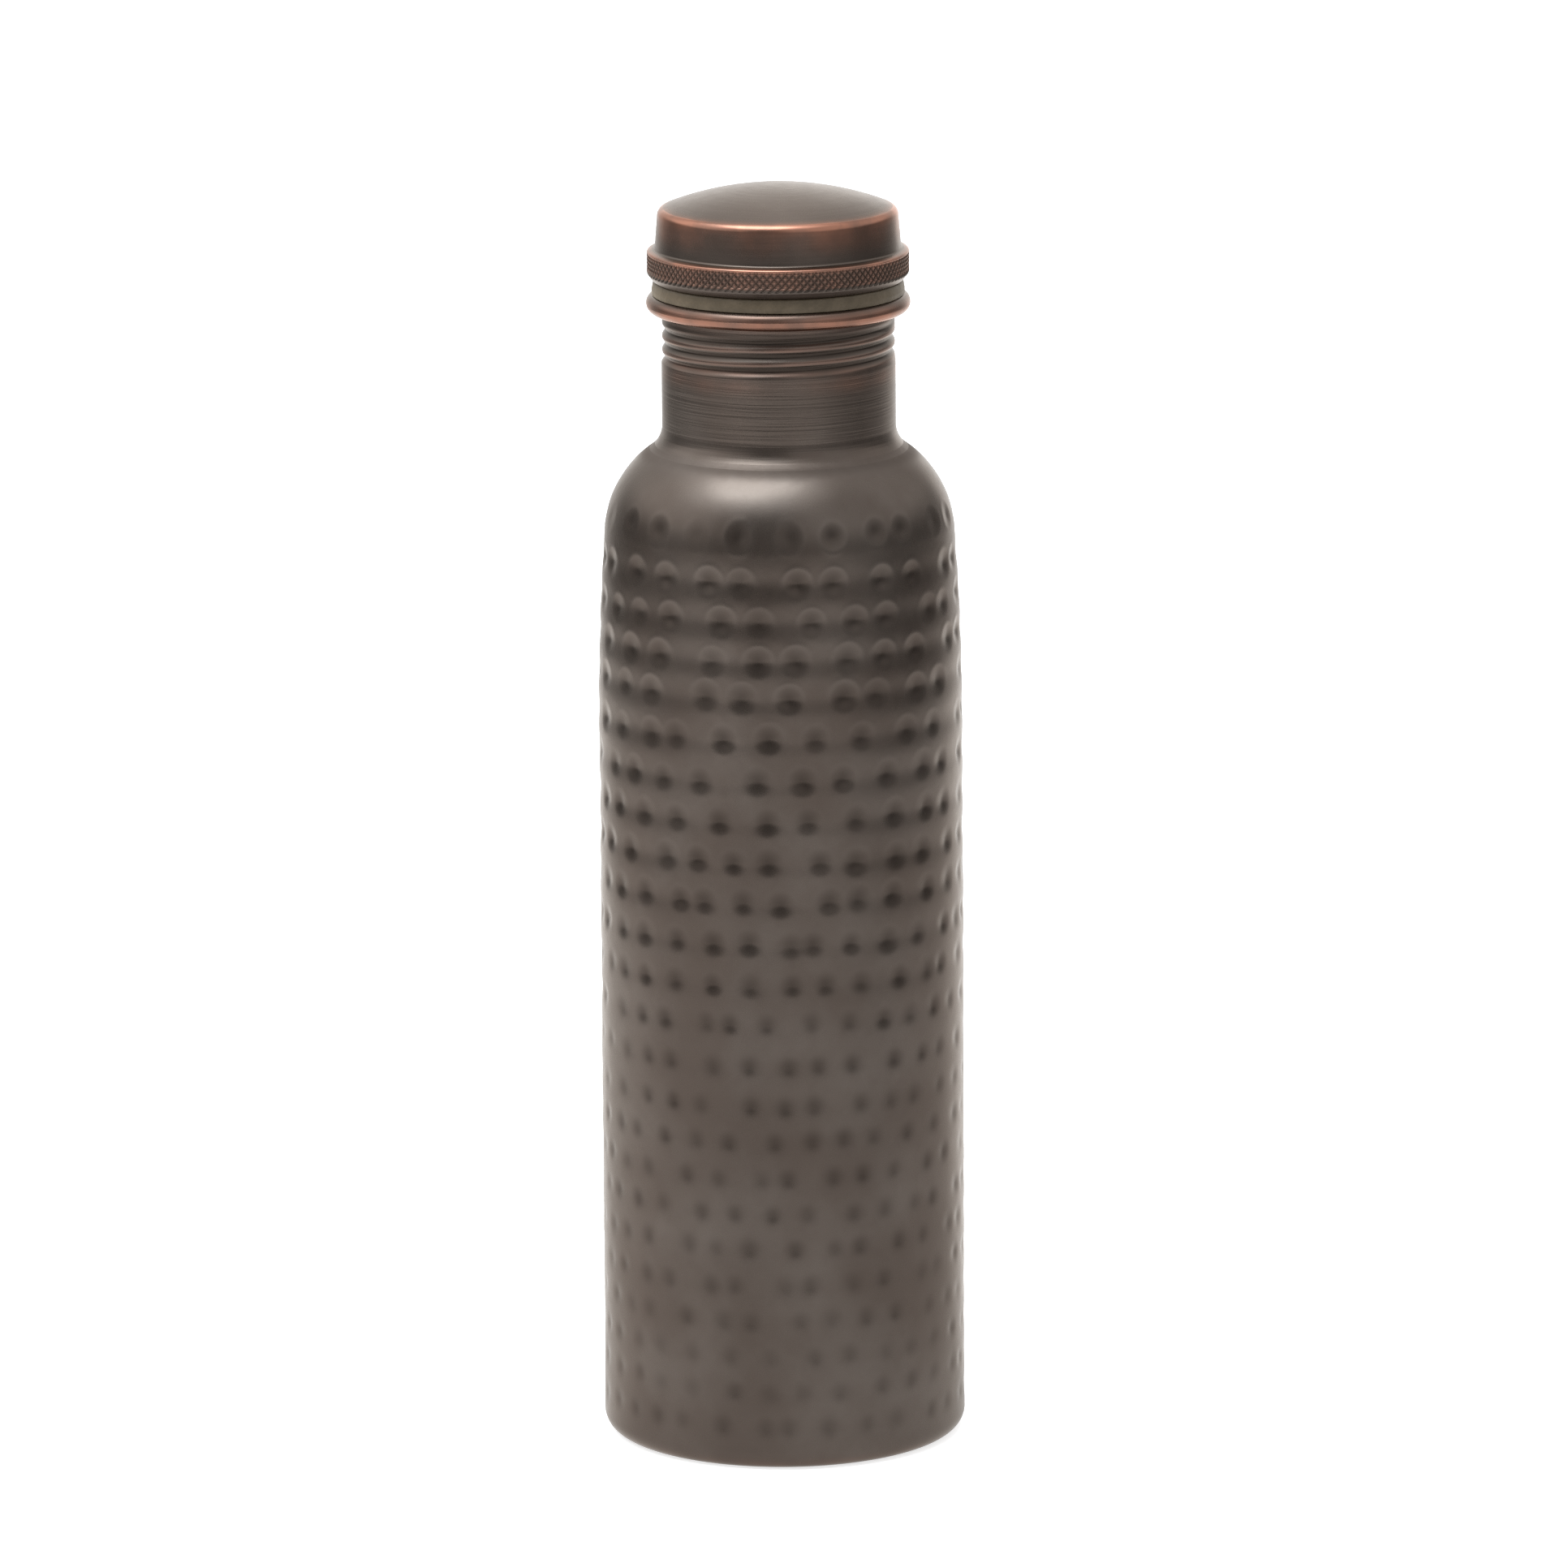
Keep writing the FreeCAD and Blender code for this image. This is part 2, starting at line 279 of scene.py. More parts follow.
def turned(name, outline, around, body, node, push=None, **marks):
    """Turns an outline about the axis into a mesh that stands for a CAD node.

    An outline that starts and ends on the axis is capped there, and any other is closed.
    push(theta, outline) gives each point's shift along its normal. Each mark has one value per
    point, or per outline point, kept on the mesh for the materials to read: worn to bright copper,
    darkened in a hollow or crease (painted shade, with some soiling), polished on a crest, in the
    rubbed band, matt, or bare of the dark finish.
    """
    poles = outline[0, 0] < 1e-6
    theta = angles(around)
    normal = normals(outline, not poles)
    r = np.repeat(outline[:, :1], around, 1)
    z = np.repeat(outline[:, 1:], around, 1)
    if push is not None:
        shift = push(theta, outline)
        r = r + shift * normal[:, :1]
        z = z + shift * normal[:, 1:]
    points = np.stack([r * np.cos(theta), r * np.sin(theta), z], -1).reshape(-1, 3) * MM
    mesh = bpy.data.meshes.new(name)
    mesh.from_pydata(points.tolist(), [], skin_faces(len(outline), around, poles))
    for key, values in marks.items():
        values = np.asarray(values, np.float32)
        if values.ndim == 1:
            values = np.repeat(values[:, None], around, 1)
        mesh.attributes.new(key, "FLOAT", "POINT").data.foreach_set("value", values.ravel())
    if poles:
        drop_loose(mesh)
    mesh.shade_smooth()
    mesh.set_sharp_from_angle(angle=math.radians(SHARP_DEG))
    piece = bpy.data.objects.new(name, mesh)
    bpy.context.scene.collection.objects.link(piece)
    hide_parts(node)
    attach(piece, body)
    return piece


def drop_loose(mesh):
    """Removes the spare points left where an outline's ends meet the axis."""
    used = np.zeros(len(mesh.vertices), bool)
    corners = np.zeros(len(mesh.loops), np.int32)
    mesh.loops.foreach_get("vertex_index", corners)
    used[corners] = True
    bm = bmesh.new()
    bm.from_mesh(mesh)
    bm.verts.ensure_lookup_table()
    bmesh.ops.delete(bm, geom=[bm.verts[i] for i in np.flatnonzero(~used)], context="VERTS")
    bm.to_mesh(mesh)
    bm.free()


# ======================= hand work =======================

def hammer_rows():
    """Heights of the rows of hammer marks, from the shoulder down."""
    rows = [FIRST_ROW_Z, SECOND_ROW_Z]
    for count, rise in ROW_RISES:
        rows += [rows[-1] - rise * (k + 1) for k in range(count)]
    return rows


def trait(values, z):
    """A trait of the marks in the row at height z, from its upper, middle and lower values."""
    upper, middle, lower = values
    share_upper = smoothstep(*UPPER_ROWS, z)
    share_lower = smoothstep(*LOWER_ROWS, z)
    return middle + (upper - middle) * share_upper + (lower - middle) * share_lower


def mark_profile(t):
    """A mark's bowl and its raised rim at a distance from its middle, in mark radii."""
    bowl = 0.5 * np.exp(-(t / 0.5) ** 2) + 0.5 * np.exp(-(t / 0.9) ** 3)
    rim = np.exp(-((t - 1.18) / 0.24) ** 2)
    return bowl, rim


def hammered(theta, height):
    """Hammer marks as three arrays, with a row for each height and a column for each angle.

    They hold the depth in mm, the shade painted round each mark's middle, and how near a point is to its
    rim.
    """
    rng = np.random.default_rng(HAMMER_SEED)
    depth = np.zeros((len(height), len(theta)))
    middle = np.zeros_like(depth)
    rims = np.zeros_like(depth)
    for row, z in enumerate(hammer_rows()):
        is_top = row == 0
        phase = rng.uniform(0, 1)
        sway = rng.uniform(0, 2 * math.pi, 2)
        dark = trait(PAINTED_SHADE, z) * (1 - PALER_BY * smoothstep(*PALER, z))
        spread = trait(PAINTED_SHADE_SPREAD, z)
        count = round(MARKS_ROUND + (MARKS_ROUND_LOW - MARKS_ROUND) * smoothstep(*MORE_MARKS, z))
        for k in range(count):
            slip = rng.uniform(-SPACING_SLIP, SPACING_SLIP)
            centre = (k + phase + slip) * 2 * math.pi / count
            wander = ROW_WANDER[0] * math.sin(centre + sway[0])
            wander += ROW_WANDER[1] * math.sin(3 * centre + sway[1])
            mark_z = z + wander + rng.normal(0, HEIGHT_SLIP)
            radius = MARK_R * rng.uniform(*SIZE_RANGE) * trait(SIZE, z)
            strength = rng.uniform(*FORCE_RANGE) * trait(FORCE, z)
            if is_top:
                strength *= rng.uniform(*TOP_ROW_FORCE_RANGE)

            touched = np.flatnonzero(np.abs(height - mark_z) < 2 * radius)
            away = (theta - centre + math.pi) % (2 * math.pi) - math.pi
            beside = np.flatnonzero(np.abs(away) * BODY_R < 2 * radius)
            above = ((height[touched] - mark_z) / radius)[:, None]
            t = np.hypot(above, away[beside] * BODY_R / radius)
            bowl, rim = mark_profile(t)
            # Below the top row the metal is raised mostly above a mark, not under it.
            lean = 1.0 if is_top else 0.2 + 0.8 * smoothstep(-0.5, 0.9, above)
            ridge = trait(RIM, z) * lean * rim
            here = np.ix_(touched, beside)
            depth[here] += strength * MARK_DEPTH * (bowl - RIM_RISE * ridge)
            # Painted shade, darkest in the mark's middle.
            middle[here] += min(1, strength * dark) * np.exp(-(t / spread) ** 2)
            rims[here] += strength * ridge
        if not is_top:
            sink = ROW_SINK * trait(SINK, z) * np.exp(-((height - z) / ROW_HALF_HEIGHT) ** 2)
            depth += sink[:, None]
    return depth, np.clip(middle, 0, 1), np.clip(rims, 0, 1)


def uneven(theta, height, seed, size, waves=14, shortest=14.0, longest=60.0):
    """Gentle hand-made unevenness: a few seeded waves that close up round the axis."""
    rng = np.random.default_rng(seed)
    total = np.zeros((len(height), len(theta)))
    for _ in range(waves):
        wave = rng.uniform(shortest, longest)
        tilt = rng.uniform(0, 2 * math.pi)
        turns = round(2 * math.pi * BODY_R / wave * math.cos(tilt))
        climb = 2 * math.pi / wave * math.sin(tilt)
        total += np.cos(turns * theta[None] + climb * height[:, None] + rng.uniform(0, 6.3))
    return total * size / math.sqrt(waves / 2)


def thread_depth(theta, height, turns, start_z, half_width):
    """0 to 1 where the rolled thread's groove runs, fading out at both ends."""
    turn = theta[None] / (2 * math.pi)
    nearest = np.round((height[:, None] - start_z) / PITCH - turn)
    along = nearest + turn
    off = height[:, None] - start_z - along * PITCH
    run = plateau(along, 0, 0.1, turns - 0.1, turns)
    return run * np.cos(np.clip(off / half_width, -1, 1) * math.pi / 2) ** 2


def knurl(theta, height, low, high):
    """0 in the knurl's crossed grooves to 1 on its diamond tips, and 1 above and below the band."""
    climb = (height[:, None] - low) / KNURL_HEIGHT
    turn = theta[None] * KNURL_COUNT / (2 * math.pi)
    rising = 1 - 2 * np.abs((turn - climb) % 1 - 0.5)
    falling = 1 - 2 * np.abs((turn + climb) % 1 - 0.5)
    # Only the rising grooves reach the bottom of the band.
    crossed = smoothstep(low + 0.2, low + 0.5, height)[:, None]
    falling = 1 - crossed * (1 - falling)
    band = plateau(height, low - 0.7, low - 0.2, high - 0.25, high + 0.15)
    return 1 - band[:, None] * (1 - np.minimum(rising, falling))


# ======================= pieces =======================

def shoulder_centre():
    """Centre of the shoulder's arc, and the angle where the body's long draw-in meets it."""
    reach = DRAW_IN_R - SHOULDER_R
    angle = math.asin((SHOULDER_CENTRE_Z - BODY_STRAIGHT_TOP) / reach)
    return (BODY_R - DRAW_IN_R + reach * math.cos(angle), SHOULDER_CENTRE_Z), math.degrees(angle)


def foot_centre():
    """Centre of the hollow arc at the neck's foot, and the angle where it meets the shoulder."""
    centre = shoulder_centre()[0]
    across = NECK_R + FOOT_R - centre[0]
    rise = math.sqrt((SHOULDER_R + FOOT_R) ** 2 - across ** 2)
    return (NECK_R + FOOT_R, centre[1] + rise), math.degrees(math.atan2(rise, across))


def body_side(inset, spacing):
    """The body's outline from its bottom corner up to the collar, moved in by inset."""
    shoulder, low = shoulder_centre()
    foot, high = foot_centre()
    corner = (BODY_R - BASE_CORNER_R, BASE_CORNER_R)
    under = FOOT_R + NECK_SHEET + inset
    return joined(
        arc(corner, BASE_CORNER_R - inset, -90, 0),
        arc((BODY_R - DRAW_IN_R, BODY_STRAIGHT_TOP), DRAW_IN_R - inset, 0, low),
        arc(shoulder, SHOULDER_R - inset, low, high),
        arc(foot, FOOT_R + inset, high + 180, JOGGLE_START),
        arc(foot, under, JOGGLE_END, 180),
        (foot[0] - under, COLLAR_TOP),
        spacing=spacing,
    )


def body_shell():
    """The drawn tube, hammered, with both its faces. Shade is painted into the middles of the marks
    and along the bottom edge. The seam at the neck is dressed matt.
    """
    outside = body_side(inset=0, spacing=0.42)
    inside = body_side(inset=SHEET, spacing=1.6)[::-1]
    flange_edge = FLANGE_R + 0.1
    outline = np.concatenate([[(FLANGE_R, SHEET / 2), (flange_edge, 0)], outside, inside,
                              [(flange_edge, SHEET)]])
    side = np.ones(len(outline))
    side[len(outside) + 2:] = -1

    around = 600
    theta = angles(around)
    height = outline[:, 1]
    depth, middle, rims = hammered(theta, height)
    free = plateau(height, *DENTED)
    depth = (depth + uneven(theta, height, seed=5, size=0.045)) * free[:, None]
    skin = (side > 0)[:, None]
    foot = near(outline, (BODY_R - 1.2, 1.2), reach=1.2, strength=0.08)
    # Painted shade: a dark line round the bottom edge, where the contact shadow falls.
    base_contact_shade = near(outline, (BODY_R - 2.0, 0.2), reach=1.6, strength=0.9)
    seam = polar(foot_centre()[0], FOOT_R, JOGGLE_START)
    dressed = near(outline, (seam[0] + 1.0, seam[1] - 0.6), reach=2.0, strength=1.0)
    return turned("body_hammered", outline, around, "bottle", "body_shell",
                  push=lambda t, o: -depth * side[:, None],
                  worn=foot,
                  bare=side < 0,
                  deep=np.maximum(middle, base_contact_shade[:, None]) * skin,
                  polish=rims * skin,
                  matt=dressed)


def lip_centre():
    """Centre of the lip's roll."""
    return NECK_BORE_R + LIP_R, LIP_TOP - LIP_R


def neck_outline():
    """Skirt, outer wall, rolled lip and bore, and how far each point takes the thread.

    That is 1 on the threaded stretch's outer face, -1 on its inner face and 0 elsewhere.
    """
    foot = foot_centre()[0]
    lip = lip_centre()
    outside = joined(arc(foot, FOOT_R, SKIRT_END, 180, spacing=0.25),
                     (NECK_R, THREAD_Z - 1.5), (NECK_R, lip[1]), spacing=0.16)
    curl = joined(arc(lip, LIP_R - NECK_SHEET, 180, LIP_END, spacing=0.2),
                  arc(lip, LIP_R, LIP_END, 180, spacing=0.12), spacing=0.2)
    inside = joined((NECK_BORE_R, lip[1]), arc(foot, FOOT_R + NECK_SHEET, 180, SKIRT_END), spacing=0.25)
    outline = np.concatenate([outside, curl[1:], inside[1:]])
    side = np.ones(len(outline))
    side[len(outside) + len(curl) - 1:] = -1
    side *= (outline[:, 0] < NECK_R + 0.3) * plateau(outline[:, 1], *THREADED)
    return outline, side


def neck():
    """The wall takes the thread on both its faces, and its bore and lip are worn or bare. Shade is
    painted into the thread's groove, under the lip and beside the gasket, and the worn underside of
    the lip is also painted light.
    """
    lip = lip_centre()
    outline, side = neck_outline()
    radius, height = outline.T
    wall = radius < NECK_R + 0.3
    outer = (side > 0)[:, None]

    around = 384
    groove = thread_depth(angles(around), height, NECK_TURNS, THREAD_Z, GROOVE_HALF_WIDTH)
    drop = CREST_DROP * smoothstep(*CREST_DROP_FROM, height)[:, None] * outer
    depth = groove * GROOVE_DEPTH * side[:, None] + drop
    crest = side[:, None] * outer * plateau(height, *CRESTED)[:, None]

    # Worn copper round the lip. The spot on its underside is also painted light, so that the shoulder's
    # reflection of the underside is less dark.
    lip_wear_and_painted_light = np.maximum(near(outline, (lip[0] + 1.85, lip[1] - 0.5), reach=1.5, strength=0.75),
                          near(outline, (lip[0] + 0.7, lip[1] - 1.8), reach=1.3, strength=0.9))
    lowest_crest = near(outline, (NECK_R, LOWEST_CREST_Z), reach=0.5, strength=0.12)[:, None] * outer
    worn = 0.22 * crest * smoothstep(0.3, 0.0, groove) + lowest_crest + lip_wear_and_painted_light[:, None]
    bare = (side < 0) | ((radius < NECK_BORE_R + 0.05) & (height < lip[1]))
    outside = radius > NECK_R - 0.1
    # Painted shade: on the lip beside the gasket, on the wall under the lip, and in the thread's groove.
    gasket_shade = near(outline, (lip[0] + 0.9, lip[1] + 1.75), reach=1.1, strength=0.24)
    under_lip_shade = near(outline, (NECK_R, lip[1] - 3.7), reach=0.9, strength=0.75) * outside
    neck_shade = np.maximum(gasket_shade, under_lip_shade)[:, None]
    rubbed = 0.5 * np.exp(-((height - RUBBED_Z) / 1.8) ** 2) * outside
    turned_wall = (0.35 * wall * ~bare)[:, None]
    return turned("neck_turned", outline, around, "bottle", "neck",
                  push=lambda t, o: -depth,
                  worn=worn,
                  bare=bare,
                  deep=np.maximum(groove * outer, neck_shade),
                  band=rubbed,
                  polish=np.maximum(crest * (1 - groove), turned_wall))


def ring(name, outline, around, body, node, wobble, seed):
    """A small closed ring whose surface wanders a little, as brazing alloy and rubber do."""
    def push(theta, points):
        rng = np.random.default_rng(seed)
        total = np.zeros((len(points), len(theta)))
        for _ in range(9):
            total += np.cos(rng.integers(3, 60) * theta[None] + rng.uniform(0, 6.3, (1, 1)))
        return total * wobble / 3
    return turned(name, outline, around, body, node, push=push)


def neck_braze_ring():
    """Fills the step where the neck's skirt ends, flush with both, and dressed smooth."""
    foot = foot_centre()[0]
    under = FOOT_R + NECK_SHEET
    feather = 6.5
    proud = FOOT_R - 0.008
    sunk = FOOT_R + 0.012
    outline = joined(polar(foot, sunk, JOGGLE_START + feather),
                     polar(foot, proud, JOGGLE_START),
                     polar(foot, proud, SKIRT_END),
                     polar(foot, sunk, SKIRT_END - feather),
                     polar(foot, under - 0.05, SKIRT_END + 0.1),
                     polar(foot, under, JOGGLE_END),
                     polar(foot, sunk, JOGGLE_START + feather), spacing=0.08)[:-1]
    return turned("neck_seam_braze", outline[::-1], 256, "bottle", "neck_braze_ring")


def corner_ring(name, body, node, r, z):
    """A fillet of brazing alloy with a hollow face, in the corner at (r, z) below a disc."""
    heel = (r - BRAZE_LEG, z - BRAZE_LEG)
    face = arc(heel, BRAZE_LEG * 0.9, 0, 90, spacing=0.08)
    outline = joined((r, heel[1]), (r, z), (heel[0], z), face[::-1], spacing=0.1)
    return ring(name, outline, 192, body, node, wobble=0.02, seed=9)


def disc(name, body, node, edge_r, z, dish):
    """A dished disc with a flat rim, both sides, capped on the axis."""
    rim = edge_r - DISC_RIM
    dome_r = (rim ** 2 + dish ** 2) / (2 * dish)
    spread = math.degrees(math.asin(rim / dome_r))
    low = arc((0, z + dish - dome_r), dome_r, 90, 90 - spread, spacing=1.0)
    high = arc((0, z + dish - dome_r + SHEET), dome_r, 90 - spread, 90, spacing=1.0)
    edge = rounded((rim, z, 0), (edge_r, z, 0.15), (edge_r, z + SHEET, 0.15), (rim, z + SHEET, 0))
    outline = joined(low, edge, high, spacing=1.0)
    outline[0, 0] = 0
    outline[-1, 0] = 0
    return turned(name, outline, 192, body, node)


def gasket():
    """A flat ring whose underside is pressed down over the lip."""
    gap = 0.03
    outer_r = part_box("gasket")[1].x / MM
    bore = PLUG_STEM_R + GASKET_PLAY
    corner_r = outer_r - 0.3
    lip = lip_centre()
    pressed = LIP_R + gap
    edge = math.degrees(math.acos((corner_r - lip[0]) / pressed))
    edge_z = lip[1] + pressed * math.sin(math.radians(edge))
    rim = rounded((corner_r, edge_z, 0), (outer_r, edge_z - 0.05, 0.2),
                  (outer_r + 0.02, LIP_TOP + 1.0, 0.8), (corner_r, CAP_BOTTOM, 0.5), (bore, CAP_BOTTOM, 0))
    outline = joined((bore, LIP_TOP + gap), arc(lip, pressed, 90, edge, spacing=0.15), rim, spacing=0.3)
    return ring("gasket_ring", outline[1:], 256, "gasket", "gasket", wobble=0.012, seed=21)


def cap_centres():
    """Centres of the bead's lower and upper corners, the hem's, the side fillet's and the top edge's."""
    low = (BEAD_R - BEAD_CORNER_R, CAP_BOTTOM + BEAD_LOW_RISE)
    high = (BEAD_R - BEAD_TOP_R, low[1] + BEAD_STRAIGHT)
    hem = (HEM_CORNER_R, CAP_BOTTOM + BEAD_CORNER_R)
    fillet = (SIDE_FILLET[0], high[1] + SIDE_FILLET[1])
    edge_r = CAP_TOP_R - CAP_CORNER_R
    edge = (edge_r, CAP_TOP_Z - DOME_R + math.sqrt((DOME_R - CAP_CORNER_R) ** 2 - edge_r ** 2))
    return low, high, hem, fillet, edge


def cap_surface(inset, spacing):
    """The cap's outline from its hem over the bead, side and dome to the axis, moved in by inset."""
    low, high, hem, fillet, edge = cap_centres()
    corner_end = math.degrees(math.acos(edge[0] / (DOME_R - CAP_CORNER_R)))
    return joined(
        (HEM_R, CAP_BOTTOM + inset),
        arc(hem, BEAD_CORNER_R - inset, -90, HEM_SLOPE_DEG, spacing=0.15),
        arc(low, BEAD_CORNER_R - inset, HEM_SLOPE_DEG, 0, spacing=0.12),
        arc(high, BEAD_TOP_R - inset, 0, BEAD_TOP_DEG, spacing=0.1),
        arc(fillet, SIDE_FILLET_R + inset, 180 + BEAD_TOP_DEG, 180 + SIDE_TAPER_DEG, spacing=0.12),
        arc(edge, CAP_CORNER_R - inset, SIDE_TAPER_DEG, corner_end, spacing=0.15),
        arc((0.0, CAP_TOP_Z - DOME_R), DOME_R - inset, corner_end, 90, spacing=0.8),
        spacing=spacing,
    )


def cap_shell():
    """Domed crown and knurled bead. The knurl's tips and the shoulder are worn to copper."""
    low, high, _, fillet, edge = cap_centres()
    outside = cap_surface(inset=0, spacing=0.14)
    inside = cap_surface(inset=SHEET, spacing=0.8)[::-1]
    outside[-1, 0] = 0
    inside[0, 0] = 0
    outline = np.concatenate([inside, outside])
    is_out = np.arange(len(outline)) >= len(inside)
    height = np.where(is_out & (outline[:, 0] > low[0]), outline[:, 1], 0)
    around = KNURL_COUNT * 10
    tips = knurl(angles(around), height, low[1] + 0.1, high[1] + 0.1)
    in_band = plateau(height, low[1], low[1] + 0.3, high[1], high[1] + 0.3)
    reddish = smoothstep(high[1] - 0.8, high[1] + 0.3, height) * 0.3
    bead_edge = near(outline, (high[0] + 0.4, high[1] + 0.4), reach=0.35, strength=0.55)
    top_edge = near(outline, (edge[0] + 1.25, edge[1] + 1.25), reach=1.3, strength=0.62)
    edges = np.maximum(bead_edge, top_edge)
    worn = in_band[:, None] * (0.10 + 0.75 * tips ** 3) + ((edges + reddish) * is_out)[:, None]
    upper = smoothstep(fillet[1], edge[1], outline[:, 1]) * (outline[:, 0] > edge[0] + 0.6) * is_out
    return turned("cap_knurled", outline, around, "cap", "cap_shell",
                  push=lambda t, o: (tips - 1) * KNURL_DEPTH,
                  worn=worn,
                  bare=~is_out,
                  deep=1 - tips,
                  band=upper)


def plug_sleeve():
    """The threaded sleeve inside the neck, with the flange and rim that the cap's hem grips."""
    low, high, hem = cap_centres()[:3]
    flange_z = CAP_BOTTOM + SHEET
    flange_top = flange_z + PLUG_SHEET
    rim_r = BEAD_R - SHEET - FIT
    held = BEAD_CORNER_R - SHEET - FIT
    lead_z = PLUG_BOTTOM + PLUG_LEAD
    crest_z = lead_z + PLUG_CHAMFER
    stem = rounded((PLUG_BORE_R + 0.2, PLUG_BOTTOM, 0), (PLUG_LEAD_R, PLUG_BOTTOM, 0.2),
                   (PLUG_LEAD_R, lead_z, 0.2), (PLUG_CREST_R, crest_z, 0.2),
                   (PLUG_CREST_R, PLUG_THREAD_TOP, 0.2), (PLUG_STEM_R, PLUG_THREAD_TOP + 0.5, 0.2),
                   (PLUG_STEM_R, flange_z, 0))
    gripped = arc(hem, held, -90, HEM_SLOPE_DEG, spacing=0.2)
    outside = joined(stem, gripped, arc(low, held, HEM_SLOPE_DEG, 0, spacing=0.2), spacing=0.2)
    rim_bore_r = rim_r - PLUG_SHEET
    inside = rounded((rim_r, high[1], 0), (rim_bore_r, high[1], 0), (rim_bore_r, low[1], 0.3),
                     (hem[0] - 0.4, flange_top, 0.3), (PLUG_BORE_R, flange_top, 0.2),
                     (PLUG_BORE_R, PLUG_BOTTOM + 0.2, 0.1))
    outline = np.concatenate([outside, joined(inside, spacing=0.8)])
    around = 288
    height = np.where(np.arange(len(outline)) < len(outside), outline[:, 1], 0)
    groove = thread_depth(angles(around), height, PLUG_TURNS, THREAD_Z - PITCH, PLUG_GROOVE_HALF_WIDTH)
    groove = groove * smoothstep(lead_z + 0.2, crest_z, height)[:, None]
    return turned("plug_threaded", outline, around, "cap", "plug_sleeve",
                  push=lambda t, o: -groove * PLUG_GROOVE_DEPTH,
                  deep=groove)


# ======================= node helpers =======================

def node(tree, kind, inputs=None, **settings):
    """Adds a shader node. Inputs are values or other nodes' outputs."""
    made = tree.nodes.new(kind)
    for key, value in settings.items():
        setattr(made, key, value)
    for key, value in (inputs or {}).items():
        if isinstance(value, bpy.types.NodeSocket):
            tree.links.new(value, made.inputs[key])
        else:
            made.inputs[key].default_value = value
    return made


def calc(tree, operation, a, b):
    """One step of arithmetic on values or nodes' outputs."""
    return node(tree, "ShaderNodeMath", {0: a, 1: b}, operation=operation).outputs[0]


def times(tree, a, b):
    """a multiplied by b."""
    return calc(tree, "MULTIPLY", a, b)


def blend(tree, share, a, b):
    """Colour a where share is 0, through to colour b where it is 1."""
    return node(tree, "ShaderNodeMix", {0: share, 6: a, 7: b}, data_type="RGBA").outputs[2]


def ramp(tree, value, *stops):
    """A grey ramp through (position, brightness) stops."""
    made = node(tree, "ShaderNodeValToRGB", {0: value})
    made.color_ramp.interpolation = "EASE"
    elements = made.color_ramp.elements
    while len(elements) < len(stops):
        elements.new(0.5)
    for element, (position, grey) in zip(elements, stops):
        element.position = position
        element.color = (grey, grey, grey, 1)
    return made.outputs[0]


def noise(tree, where, scale, detail, rough=0.5):
    """Cloudy noise from 0 to 1, with scale as features to the metre."""
    made = node(tree, "ShaderNodeTexNoise",
                {"Vector": where, "Scale": scale, "Detail": detail, "Roughness": rough})
    return made.outputs[0]


def mark(tree, name):
    """One of the marks that turned() keeps on a mesh, or 0 where a mesh hasn't got it."""
    return node(tree, "ShaderNodeAttribute", attribute_name=name).outputs["Fac"]


def position(tree, stretch=(1, 1, 1)):
    """A point's place in metres, with each axis multiplied by stretch."""
    where = node(tree, "ShaderNodeTexCoord").outputs["Object"]
    return node(tree, "ShaderNodeMapping", {"Vector": where, "Scale": stretch}).outputs[0]


def ring_lines(tree, fine):
    """Position with height and radius drawn out, so that noise on it makes rings round the axis."""
    where = node(tree, "ShaderNodeTexCoord").outputs["Object"]
    parts = node(tree, "ShaderNodeSeparateXYZ", {0: where})
    flat = node(tree, "ShaderNodeVectorMath", {0: where, 1: (1, 1, 0)}, operation="MULTIPLY").outputs[0]
    radius = node(tree, "ShaderNodeVectorMath", {0: flat}, operation="LENGTH").outputs["Value"]
    level = times(tree, calc(tree, "ADD", parts.outputs[2], radius), fine)
    rings = node(tree, "ShaderNodeCombineXYZ", {0: parts.outputs[0], 1: parts.outputs[1], 2: level})
    return rings.outputs[0]


def new_material(name):
    """An empty node material, with its shader wired to its output."""
    material = bpy.data.materials.new(name)
    material.use_nodes = True
    tree = material.node_tree
    tree.nodes.clear()
    shader = node(tree, "ShaderNodeBsdfPrincipled")
    node(tree, "ShaderNodeOutputMaterial", {0: shader.outputs[0]})
    return material, tree, shader


def wire(tree, shader, **inputs):
    """Sets a shader's inputs by name, with _ for each space."""
    for key, value in inputs.items():
        key = key.replace("_", " ")
        if isinstance(value, bpy.types.NodeSocket):
            tree.links.new(value, shader.inputs[key])
        else:
            shader.inputs[key].default_value = value


# ======================= materials =======================

DARK = (0.126, 0.100, 0.085, 1)
LIGHT = (0.172, 0.145, 0.127, 1)
POLISHED = (0.245, 0.210, 0.186, 1)
COPPER = (0.47, 0.225, 0.155, 1)
BARE = (0.72, 0.40, 0.27, 1)
SHADE_AND_GRIME = (0.035, 0.026, 0.021, 1)
TARNISHED = (0.42, 0.19, 0.12, 1)
RUBBER = (0.092, 0.069, 0.041, 1)
DUSTY_RUBBER = (0.142, 0.108, 0.069, 1)


